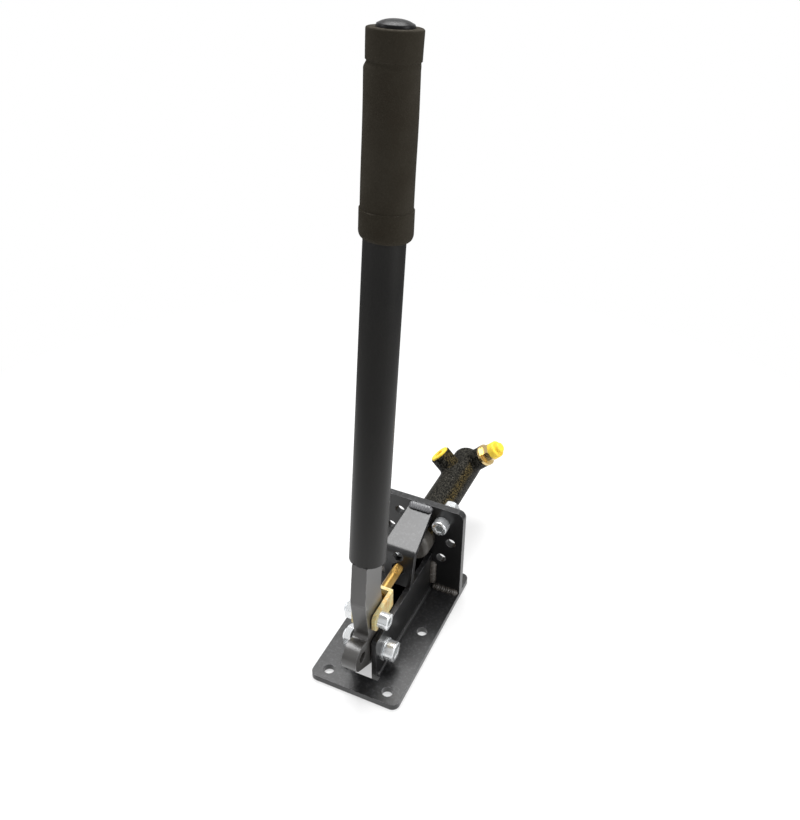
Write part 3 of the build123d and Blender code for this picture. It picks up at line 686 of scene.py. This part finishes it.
def new_finish(name, **fixed):
    """New material with a Principled BSDF, and the constants set on the shader's own sockets."""
    material = bpy.data.materials.new(name)
    material.use_nodes = True
    tree = material.node_tree
    for key, value in fixed.items():
        tree.nodes["Principled BSDF"].inputs[key.replace("_", " ")].default_value = value
    return material, tree


def surface(material, tree, colour, rough, height, strength, depth, normal=None):
    """Links colour, roughness and a bump to the material's shader, and returns the material."""
    sockets = {"Height": height, "Strength": strength, "Distance": depth}
    if normal is not None:
        sockets["Normal"] = normal
    bump = put(tree, "Bump", sockets).outputs["Normal"]
    for label, value in (("Base Color", colour), ("Roughness", rough), ("Normal", bump)):
        tree.links.new(value, tree.nodes["Principled BSDF"].inputs[label])
    return material


def patchy(tree, grain, low, high):
    """Roughness that follows the grain's patches between two values."""
    return remap(tree, grain["Patches"], 0.3, 0.7, low, high)


def black_paint(name, first, second, specular, roughness, coat=0.0):
    """Satin black powder coat: faint orange peel, dust on top, grey along the edges: partly rubbed
    paint, partly painted highlight.
    """
    material, tree = new_finish(
        name, Specular_IOR_Level=specular, Coat_Weight=coat, Coat_Roughness=0.3)
    grain = use(tree, "Fine Grain", Scale=700.0)
    edge_marks = use(tree, "Edge Wear", Radius=0.0006, Breakup=300.0)
    top_cover = use(tree, "Settled Dust", Scale=420.0, Amount=0.5)
    deep = blend(tree, grain["Patches"], first, second)
    top_covered = blend(tree, top_cover["Dust"], deep, (0.16, 0.16, 0.17))
    # Grey along the edges: partly rubbed paint, partly a painted highlight of the rounded edges.
    edge_toned = blend(tree, times(tree, edge_marks["Wear"], 0.8), top_covered, (0.45, 0.45, 0.47))
    rough = patchy(tree, grain, roughness - 0.02, roughness + 0.02)
    return surface(material, tree, edge_toned, rough, grain["Grain"], 0.12, 0.0004, edge_marks["Normal"])


def cast_black():
    """Black coat on a cast skin, rust-brown along one side, with the neck turned bare."""
    material, tree = new_finish("cast_black_coat", Specular_IOR_Level=0.06)
    skin = use(tree, "Cast Skin", Scale=1150.0)
    edge_marks = use(tree, "Edge Wear", Radius=0.0008, Breakup=220.0)
    top_cover = use(tree, "Settled Dust", Scale=600.0, Amount=0.15)
    marks = use(tree, "Turning Marks", Lines=8000.0)
    neck_start, neck_end = 64.2 * MM, 74.3 * MM
    along = split(tree, place_of(tree))["Y"]
    bare = times(tree, maths(tree, "GREATER_THAN", along, neck_start),
                 maths(tree, "LESS_THAN", along, neck_end))
    coat = blend(tree, skin["Shade"], (0.0015, 0.0015, 0.001), (0.085, 0.080, 0.066))
    facing = split(tree, put(tree, "TexCoord").outputs["Normal"])
    stain = times(tree, remap(tree, facing["Z"], 0.42, 0.60), remap(tree, facing["Z"], 0.92, 0.78),
                  maths(tree, "GREATER_THAN", facing["X"], 0.0), skin["Shade"])
    coat = blend(tree, stain, coat, (0.130, 0.090, 0.020))
    top_covered = blend(tree, top_cover["Dust"], coat, (0.20, 0.19, 0.16))
    edge_toned = blend(tree, times(tree, edge_marks["Wear"], 0.5), top_covered, (0.26, 0.24, 0.20))
    metal = blend(tree, marks["Bands"], (0.24, 0.17, 0.10), (0.44, 0.35, 0.25))
    tree.links.new(times(tree, bare, 0.85), tree.nodes["Principled BSDF"].inputs["Metallic"])
    cast = times(tree, skin["Height"], maths(tree, "SUBTRACT", 1.0, bare))
    height = maths(tree, "ADD", cast, times(tree, marks["Marks"], bare, 0.15))
    return surface(material, tree, blend(tree, bare, edge_toned, metal),
            remap(tree, skin["Shade"], 0.0, 1.0, 0.42, 0.58), height, 0.55, 0.0007,
            edge_marks["Normal"])


def plated(name, first, second, third, roughness, scale, metallic=1.0):
    """Plate or bare metal in three tints that drift over it, with fine grain and soft edges.

    The screws' attribute dulls their sockets and tails, and darkens their sockets with painted
    shade.
    """
    material, tree = new_finish(name, Metallic=metallic)
    grain = use(tree, "Fine Grain", Scale=1600.0)
    tint = use(tree, "Plating Tint", Scale=scale)
    edge_marks = use(tree, "Edge Wear", Radius=0.0004, Breakup=500.0)
    base = blend(tree, tint["Warm"], first, second)
    drift = blend(tree, times(tree, tint["Rainbow"], 0.55), base, third)
    grime_and_shade = put(tree, "Attribute", attribute_name="grime_and_shade").outputs["Fac"]
    # Painted shade: the screw sockets are darkened where little light reaches into them.
    painted_socket_shade = times(tree, remap(tree, grime_and_shade, 0.4, 1.0),
                  remap(tree, grain["Patches"], 0.2, 0.6, 0.8, 1.0))
    colour = blend(tree, painted_socket_shade, drift, (0.24, 0.25, 0.23))
    rough = patchy(tree, grain, roughness - 0.05, roughness + 0.07)
    rough = maths(tree, "ADD", rough, remap(tree, grime_and_shade, 0.0, 1.0, 0.0, 0.7))
    return surface(material, tree, colour, rough, grain["Grain"], 0.10, 0.0002, edge_marks["Normal"])


def turned_brass():
    """Brass of the port washer and adapter, in two tints."""
    material, tree = new_finish("port_brass_turned", Metallic=1.0)
    grain = use(tree, "Fine Grain", Scale=1800.0)
    edge_marks = use(tree, "Edge Wear", Radius=0.0004, Breakup=500.0)
    colour = blend(tree, grain["Patches"], (0.78, 0.54, 0.24), (0.94, 0.78, 0.40))
    rough = patchy(tree, grain, 0.22, 0.34)
    return surface(material, tree, colour, rough, grain["Grain"], 0.15, 0.0003, edge_marks["Normal"])


def moulded(name, first, second, roughness, scale, specular=0.5, relief=0.15):
    """Moulded plastic or rubber: a slow change of colour, fine grain and soft edges."""
    material, tree = new_finish(name, Specular_IOR_Level=specular)
    grain = use(tree, "Fine Grain", Scale=scale)
    edge_marks = use(tree, "Edge Wear", Radius=0.0005, Breakup=400.0)
    top_cover = use(tree, "Settled Dust", Scale=600.0, Amount=0.2)
    base = blend(tree, grain["Patches"], first, second)
    colour = blend(tree, top_cover["Dust"], base, (0.5, 0.5, 0.48))
    rough = patchy(tree, grain, roughness - 0.05, roughness + 0.05)
    return surface(material, tree, colour, rough, grain["Grain"], relief, 0.0003, edge_marks["Normal"])


def grip_foam(foam):
    """Closed-cell foam: matt, warm charcoal, with fine cells under a soft skin."""
    material, tree = new_finish(
        "grip_foam_charcoal", Specular_IOR_Level=0.05, Sheen_Weight=0.02, Sheen_Roughness=0.6,
        Sheen_Tint=(0.75, 0.72, 0.66, 1.0))
    pores = use(tree, "Foam Cells", Scale=1500.0)
    grain = use(tree, "Fine Grain", Scale=2200.0)
    # Painted light: this up-facing mask lightens the foam's top where light from above falls; it
    # is not dust.
    top_cover = use(tree, "Settled Dust", Scale=300.0, Amount=0.5)
    shade = blend(tree, pores["Shade"], foam, (0.032, 0.028, 0.021))
    flecks = remap(tree, grain["Grain"], 0.55, 0.75)
    flecked = blend(tree, flecks, shade, (0.044, 0.039, 0.031))
    top_covered = blend(tree, top_cover["Dust"], flecked, (0.24, 0.22, 0.19))
    rough = remap(tree, grain["Grain"], 0.3, 0.7, 0.82, 0.95)
    return surface(material, tree, top_covered, rough, pores["Height"], 0.45, 0.0003)


def build_materials(colours):
    """All finishes by name.

    A paint has two tints, specular level, roughness and coat. A metal has three tints,
    roughness, the scale of the tints and how metallic it is. A moulding has two tints,
    roughness, the grain's scale, specular level and relief.
    """
    build_grain()
    build_edge_wear_and_highlight()
    build_dust_and_top_light()
    build_plating_tint()
    build_turning_marks()
    build_cells("Cast Skin", 0.35, 1.6, 0.6, 5.0, 0.75, 0.47, 0.66)
    build_cells("Foam Cells", 0.08, 2.2, 0.03, 3.0, 0.6, 0.3, 0.7)
    paint, foam, plug = (tuple(value) for value in (colours.paint, colours.foam, colours.plug))
    paints = {
        "black_paint": (paint, (0.011, 0.011, 0.0115), 0.64, 0.31),
        "lever_paint": (paint, (0.036, 0.032, 0.027), 1.0, 0.40, 0.6),
        "tube_paint": (paint, (0.009, 0.008, 0.006), 0.52, 0.42),
        "strap_weld_paint": (paint, (0.16, 0.16, 0.17), 1.0, 0.40),
        "weld_paint": (paint, (0.105, 0.086, 0.068), 0.9, 0.42),
    }
    metals = {
        "bright_zinc": ((0.84, 0.86, 0.88), (0.92, 0.92, 0.92), (0.78, 0.82, 0.84),
                        0.22, 120.0, 0.78),
        "yellow_zinc": ((0.58, 0.33, 0.08), (0.66, 0.53, 0.22), (0.58, 0.60, 0.36),
                        0.36, 75.0, 0.15),
        "golden_zinc": ((0.42, 0.24, 0.06), (0.50, 0.31, 0.09), (0.38, 0.26, 0.09), 0.34, 110.0),
        "spring_steel": ((0.50, 0.50, 0.50), (0.58, 0.57, 0.55), (0.45, 0.46, 0.48), 0.32, 150.0),
        "piston_alloy": ((0.66, 0.66, 0.67), (0.72, 0.72, 0.72), (0.60, 0.61, 0.63), 0.30, 150.0),
        "bush_bronze": ((0.50, 0.33, 0.16), (0.60, 0.42, 0.22), (0.44, 0.30, 0.16), 0.42, 150.0),
    }
    mouldings = {
        "plug_plastic": (plug, (0.94, 0.68, 0.07), 0.45, 1200.0, 0.2),
        "cap_plastic": ((0.006, 0.006, 0.007), (0.010, 0.010, 0.011), 0.30, 1500.0, 0.16, 0.02),
        "boot_rubber": ((0.044, 0.040, 0.034), (0.060, 0.055, 0.047), 0.46, 1100.0, 0.6),
        "seal_rubber": ((0.015, 0.015, 0.015), (0.024, 0.024, 0.024), 0.5, 1300.0, 0.4),
    }
    finishes = {"cast_black": cast_black(), "port_brass": turned_brass(),
                "foam": grip_foam(foam)}
    for make, looks in ((black_paint, paints), (plated, metals), (moulded, mouldings)):
        for name, look in looks.items():
            finishes[name] = make(name, *look)
    return finishes


NODE_FINISHES = {
    "black_paint": ("base_plate", "left_wall", "right_wall", "upright_plate", "stop_strap",
                    "weld_beads"),
    "lever_paint": ("lever_plate",),
    "tube_paint": ("lever_tube",),
    "bright_zinc": ("pivot_bolt", "pivot_washers", "pivot_nut", "flange_bolts", "flange_washers",
                    "flange_nuts", "clevis_bolt", "clevis_nut", "stop_nut"),
    "yellow_zinc": ("clevis",),
    "golden_zinc": ("push_rod",),
    "cast_black": ("cylinder_body",),
    "boot_rubber": ("dust_boot",),
    "spring_steel": ("circlip", "return_spring"),
    "plug_plastic": ("inlet_plug", "outlet_cap"),
    "port_brass": ("outlet_washer", "outlet_adapter"),
    "bush_bronze": ("pivot_bush",),
    "cap_plastic": ("end_cap",),
    "piston_alloy": ("piston",),
    "seal_rubber": ("piston_seals",),
    "foam": ("foam_grip",),
}


# Stage


def mirrored_rays(tree, rays):
    """1 for a ray that a shiny or clear surface sends on, else 0."""
    return maths(tree, "MAXIMUM", rays["Is Glossy Ray"], rays["Is Transmission Ray"])


def floor_material():
    """Pale floor that keeps its shadows near the object and turns plain white away from it.

    In reflections it darkens away from the object.
    """
    material = bpy.data.materials.new("pale_floor")
    material.use_nodes = True
    tree = material.node_tree
    tree.nodes.remove(tree.nodes["Principled BSDF"])
    place = place_of(tree)
    pale = blend(tree, noise(tree, place, 30.0, 4.0), (0.90,) * 3, (0.93,) * 3)
    matt = put(tree, "BsdfDiffuse", {"Color": pale}).outputs[0]
    rays = put(tree, "LightPath").outputs
    mirrored = mirrored_rays(tree, rays)
    away = put(tree, "VectorMath", {0: place}, operation="LENGTH").outputs["Value"]
    direct = times(tree, rays["Is Camera Ray"], remap(tree, away, 0.15, 0.6, 0.45, 1.0))
    dimming = times(tree, mirrored, remap(tree, away, 0.24, 0.50, 0.0, 0.86))
    glow = maths(tree, "SUBTRACT", 1.0, dimming)
    white = put(tree, "Emission", {"Strength": glow}).outputs[0]
    seen = maths(tree, "MAXIMUM", direct, mirrored)
    mixed = put(tree, "MixShader", {0: seen, 1: matt, 2: white}).outputs[0]
    tree.links.new(mixed, tree.nodes["Material Output"].inputs["Surface"])
    return material


def make_floor(half):
    """Square floor at the object's foot."""
    mesh = bpy.data.meshes.new("floor")
    mesh.from_pydata([(-half, -half, 0), (half, -half, 0), (half, half, 0), (-half, half, 0)],
                     [], [(0, 1, 2, 3)])
    mesh.materials.append(floor_material())
    floor = bpy.data.objects.new("floor", mesh)
    bpy.context.scene.collection.objects.link(floor)


def make_world(ambient):
    """Even light from all round, white to the camera and a soft grey in reflections."""
    world = bpy.data.worlds.new("studio")
    world.use_nodes = True
    tree = world.node_tree
    rays = put(tree, "LightPath").outputs
    seen = maths(tree, "MAXIMUM", rays["Is Camera Ray"],
                     times(tree, mirrored_rays(tree, rays), 0.35))
    background = tree.nodes["Background"]
    background.inputs["Color"].default_value = (1.0, 1.0, 1.0, 1.0)
    tree.links.new(remap(tree, seen, 0.0, 1.0, ambient, 1.0), background.inputs["Strength"])
    bpy.context.scene.world = world


def stand(name, data, matrix):
    """New camera or lamp object that stands as the matrix says."""
    holder = bpy.data.objects.new(name, data)
    holder.matrix_world = matrix
    bpy.context.scene.collection.objects.link(holder)
    return holder


def make_lamp(name, place, size, power):
    """Square area lamp at place that looks at the object's lower part."""
    lamp = bpy.data.lights.new(name, "AREA")
    lamp.shape = "SQUARE"
    lamp.size = size
    lamp.energy = power
    back = Vector(place) - Vector((0.0, 0.0, 100 * MM))
    stand(name, lamp, Matrix.LocRotScale(Vector(place), back.to_track_quat("Z", "Y"), None))


def make_camera(settings):
    """Camera at the photograph's angle, placed by its offsets from the origin in its own axes."""
    camera = bpy.data.cameras.new("photo_camera")
    camera.sensor_width = 36.0
    camera.lens = settings.lens
    camera.shift_y = settings.rise
    camera.clip_start, camera.clip_end = 0.01, 50.0
    axes = (Matrix.Rotation(settings.azimuth, 4, "Z")
            @ Matrix.Rotation(math.pi / 2 - settings.elevation, 4, "X")
            @ Matrix.Rotation(-settings.roll, 4, "Z"))
    place = Matrix.Translation((settings.right_offset, settings.up_offset, settings.distance))
    bpy.context.scene.camera = stand("photo_camera", camera, axes @ place)


# Operators


class BRAKELEVER_OT_finishes(bpy.types.Operator):
    """Make every finish and put it on the CAD nodes"""
    bl_idname = "brake_lever.finishes"
    bl_label = "Finishes"

    def execute(self, context):
        MATERIALS.update(build_materials(context.scene.brake_lever_finish))
        for finish, nodes in NODE_FINISHES.items():
            for node in nodes:
                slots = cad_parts[node].data.materials
                for index in range(len(slots)):
                    slots[index] = MATERIALS[finish]
        return {"FINISHED"}


class BRAKELEVER_OT_foam_grip(bpy.types.Operator):
    """Build the foam grip round the top of the tube"""
    bl_idname = "brake_lever.foam_grip"
    bl_label = "Foam Grip"

    def execute(self, context):
        grid = grip_grid(context.scene.brake_lever_grip)
        piece = make_piece("grip_foam", [grid], "lever", "foam", crease=60.0)
        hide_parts("foam_grip")
        return {"FINISHED"}


class BRAKELEVER_OT_end_cap(bpy.types.Operator):
    """Build the glossy cap in the top of the tube"""
    bl_idname = "brake_lever.end_cap"
    bl_label = "End Cap"

    def execute(self, context):
        piece = make_piece("end_button", [cap_grid()], "lever", "cap_plastic", crease=50.0)
        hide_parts("end_cap")
        return {"FINISHED"}


class BRAKELEVER_OT_weld_beads(bpy.types.Operator):
    """Build the weld beads of the bracket"""
    bl_idname = "brake_lever.weld_beads"
    bl_label = "Weld Beads"

    def execute(self, context):
        rough, even, strap = bead_runs(context.scene.brake_lever_welds)
        piece = make_piece("rippled_welds", rough, "bracket", "black_paint", "weld_paint")
        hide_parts("weld_beads")
        make_piece("smooth_welds", even, "bracket", "black_paint")
        make_piece("strap_weld", strap, "bracket", "black_paint", "strap_weld_paint")
        return {"FINISHED"}


class BRAKELEVER_OT_cap_screws(bpy.types.Operator):
    """Build the socket cap screws with their sockets and threads"""
    bl_idname = "brake_lever.cap_screws"
    bl_label = "Cap Screws"

    def execute(self, context):
        screw_pieces(context.scene.brake_lever_screws)
        return {"FINISHED"}


class BRAKELEVER_OT_push_rod(bpy.types.Operator):
    """Build the push rod with its rolled thread"""
    bl_idname = "brake_lever.push_rod"
    bl_label = "Push Rod"

    def execute(self, context):
        grid = rod_grid(context.scene.brake_lever_screws)
        piece = make_piece("threaded_rod", [grid], "rod", "yellow_zinc", "golden_zinc")
        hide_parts("push_rod")
        return {"FINISHED"}


class BRAKELEVER_OT_boss_fillets(bpy.types.Operator):
    """Build the cast fillets at the foot of the two port bosses"""
    bl_idname = "brake_lever.boss_fillets"
    bl_label = "Boss Fillets"

    def execute(self, context):
        grids = [fillet_grid(side, context.scene.brake_lever_casting) for side in (-1, 1)]
        make_piece("boss_fillets", grids, "bracket", "cast_black", crease=60.0)
        return {"FINISHED"}


class BRAKELEVER_OT_return_spring(bpy.types.Operator):
    """Build the spring that pushes the piston back"""
    bl_idname = "brake_lever.return_spring"
    bl_label = "Return Spring"

    def execute(self, context):
        settings = context.scene.brake_lever_spring
        piece = make_piece("coil_spring", [spring_grid(settings)], "bracket", "spring_steel",
                           crease=60.0)
        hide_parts("return_spring")
        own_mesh(piece)
        return {"FINISHED"}


class BRAKELEVER_OT_dust_boot(bpy.types.Operator):
    """Build the rubber boot in front of the cylinder"""
    bl_idname = "brake_lever.dust_boot"
    bl_label = "Dust Boot"

    def execute(self, context):
        piece = make_piece("folded_boot", [boot_grid()], "bracket", "boot_rubber", crease=50.0)
        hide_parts("dust_boot")
        return {"FINISHED"}


class BRAKELEVER_OT_stage(bpy.types.Operator):
    """Set up the floor, the lamps, the even light and the camera"""
    bl_idname = "brake_lever.stage"
    bl_label = "Stage"

    def execute(self, context):
        settings = context.scene.brake_lever_stage
        make_floor(settings.floor_size)
        make_world(settings.ambient)
        make_lamp("softbox_above", (-0.24, 0.40, 1.54), 1.05, settings.softbox_power)
        make_lamp("softbox_left", (-1.4, -0.9, 0.9), 0.8, settings.fill_power)
        make_lamp("softbox_right", (1.5, 0.1, 0.8), 0.9, settings.right_power)
        make_camera(settings)
        context.scene.view_settings.view_transform = "Standard"
        return {"FINISHED"}


class BRAKELEVER_PT_panel(bpy.types.Panel):
    """Lists the pieces of the parking brake lever"""
    bl_idname = "BRAKELEVER_PT_panel"
    bl_label = "Parking Brake Lever"
    bl_space_type = "VIEW_3D"
    bl_region_type = "UI"
    bl_category = "Brake Lever"

    def draw(self, context):
        for operator in OPERATORS:
            self.layout.operator(operator.bl_idname)
        for name in GROUPS:
            settings = getattr(context.scene, name)
            box = self.layout.box()
            for setting in settings.__annotations__:
                box.prop(settings, setting)


OPERATORS = (
    BRAKELEVER_OT_finishes,
    BRAKELEVER_OT_foam_grip,
    BRAKELEVER_OT_end_cap,
    BRAKELEVER_OT_weld_beads,
    BRAKELEVER_OT_cap_screws,
    BRAKELEVER_OT_push_rod,
    BRAKELEVER_OT_boss_fillets,
    BRAKELEVER_OT_return_spring,
    BRAKELEVER_OT_dust_boot,
    BRAKELEVER_OT_stage,
)

GROUPS = {
    "brake_lever_grip": BrakeLeverGrip,
    "brake_lever_welds": BrakeLeverWelds,
    "brake_lever_screws": BrakeLeverScrews,
    "brake_lever_spring": BrakeLeverSpring,
    "brake_lever_casting": BrakeLeverCasting,
    "brake_lever_finish": BrakeLeverFinish,
    "brake_lever_stage": BrakeLeverStage,
}


def register():
    for name, group in GROUPS.items():
        bpy.utils.register_class(group)
        setattr(bpy.types.Scene, name, PointerProperty(type=group))
    for operator in OPERATORS:
        bpy.utils.register_class(operator)
    bpy.utils.register_class(BRAKELEVER_PT_panel)


def unregister():
    bpy.utils.unregister_class(BRAKELEVER_PT_panel)
    for operator in reversed(OPERATORS):
        bpy.utils.unregister_class(operator)
    for name, group in reversed(GROUPS.items()):
        delattr(bpy.types.Scene, name)
        bpy.utils.unregister_class(group)


def main():
    """Builds everything in order."""
    register()
    bpy.ops.brake_lever.finishes()
    bpy.ops.brake_lever.foam_grip()
    bpy.ops.brake_lever.end_cap()
    bpy.ops.brake_lever.weld_beads()
    bpy.ops.brake_lever.cap_screws()
    bpy.ops.brake_lever.push_rod()
    bpy.ops.brake_lever.boss_fillets()
    bpy.ops.brake_lever.return_spring()
    bpy.ops.brake_lever.dust_boot()
    bpy.ops.brake_lever.stage()


if __name__ == "__main__":
    main()
